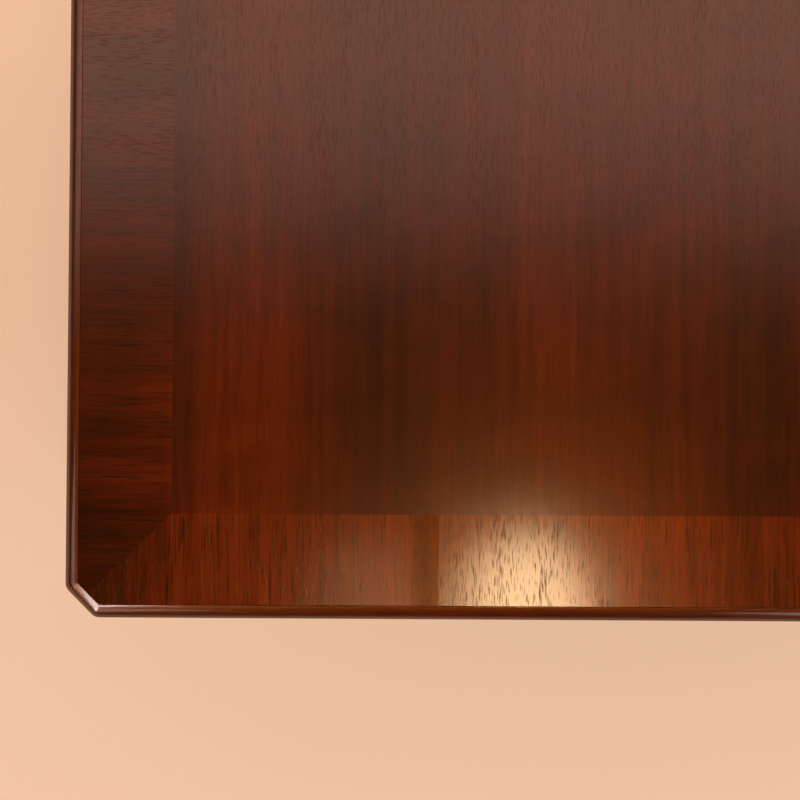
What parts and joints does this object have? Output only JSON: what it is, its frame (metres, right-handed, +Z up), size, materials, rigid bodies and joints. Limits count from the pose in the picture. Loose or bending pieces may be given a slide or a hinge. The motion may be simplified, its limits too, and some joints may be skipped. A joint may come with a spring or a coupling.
{
  "type": "double pedestal dining table",
  "caption": "Extending dining table: crossbanded mahogany top with clipped corners and rounded edge, on turned pedestals with sabre legs and brass toes.",
  "frame": {"origin": "on the floor, below the middle of the closed top", "axes": "+X along the table's length towards the half that pulls out, +Y across it, +Z up"},
  "size_m": [1.83, 1.118, 0.756],
  "materials": {
    "field_mahogany": "polished",
    "band_mahogany": "polished",
    "edge_mahogany": "polished",
    "apron_mahogany": "polished",
    "base_mahogany": "polished",
    "secondary_wood": "raw",
    "slide_wood": "waxed",
    "pin_wood": "raw",
    "cast_brass": "polished",
    "latch_brass": "satin",
    "steel": "satin",
    "glide_plastic": "matt"
  },
  "bodies": {
    "left_half": {"left_field_veneer": "field_mahogany", "left_end_band": "band_mahogany", "left_side_bands": "band_mahogany", "left_end_moulding": "edge_mahogany", "left_side_mouldings": "edge_mahogany", "left_corner_mouldings": "edge_mahogany", "left_end_apron": "apron_mahogany", "left_side_aprons": "apron_mahogany", "left_corner_aprons": "apron_mahogany", "left_apron_bead": "apron_mahogany", "left_glue_blocks": "secondary_wood", "left_top_core": "secondary_wood", "left_slide_packers": "secondary_wood", "left_slide_rails": "slide_wood", "left_mounting_block": "secondary_wood", "left_column": "base_mahogany", "left_turned_drop": "base_mahogany", "left_tie_rod": "steel", "left_spider_plate": "steel", "left_screws": "steel", "left_toe_caps": "cast_brass", "left_glides": "glide_plastic", "left_leg_back_inner": "base_mahogany", "left_leg_back_outer": "base_mahogany", "left_leg_front_outer": "base_mahogany", "left_leg_front_inner": "base_mahogany", "alignment_pins": "pin_wood", "latch_plates": "latch_brass"},
    "right_half": {"right_field_veneer": "field_mahogany", "right_end_band": "band_mahogany", "right_side_bands": "band_mahogany", "right_end_moulding": "edge_mahogany", "right_side_mouldings": "edge_mahogany", "right_corner_mouldings": "edge_mahogany", "right_end_apron": "apron_mahogany", "right_side_aprons": "apron_mahogany", "right_corner_aprons": "apron_mahogany", "right_apron_bead": "apron_mahogany", "right_glue_blocks": "secondary_wood", "right_top_core": "secondary_wood", "right_slide_packers": "secondary_wood", "right_slide_rails": "slide_wood", "right_mounting_block": "secondary_wood", "right_column": "base_mahogany", "right_turned_drop": "base_mahogany", "right_tie_rod": "steel", "right_spider_plate": "steel", "right_screws": "steel", "right_toe_caps": "cast_brass", "right_glides": "glide_plastic", "right_leg_back_inner": "base_mahogany", "right_leg_back_outer": "base_mahogany", "right_leg_front_outer": "base_mahogany", "right_leg_front_inner": "base_mahogany", "keeper_plates": "latch_brass"},
    "middle_slides": {"middle_slide_rails": "slide_wood"},
    "front_latch": {"front_latch_lever": "latch_brass"},
    "back_latch": {"back_latch_lever": "latch_brass"}
  },
  "joints": [
    {"name": "top_extension", "type": "slide", "parent": "left_half", "child": "right_half", "axis": [1, 0, 0], "range_m": [0, 0.914]},
    {"name": "middle_rail_travel", "type": "slide", "parent": "left_half", "child": "middle_slides", "axis": [1, 0, 0], "range_m": [0, 0.457]},
    {"name": "front_latch_swing", "type": "hinge", "parent": "left_half", "child": "front_latch", "pos_m": [-0.042, -0.361, 0.7267], "axis": [0, 0, 1], "range_deg": [-90, 0]},
    {"name": "back_latch_swing", "type": "hinge", "parent": "left_half", "child": "back_latch", "pos_m": [-0.042, 0.361, 0.7267], "axis": [0, 0, 1], "range_deg": [0, 90]}
  ],
  "couplings": [
    {"joint": "middle_rail_travel", "follows": "top_extension", "ratio": 0.5}
  ]
}
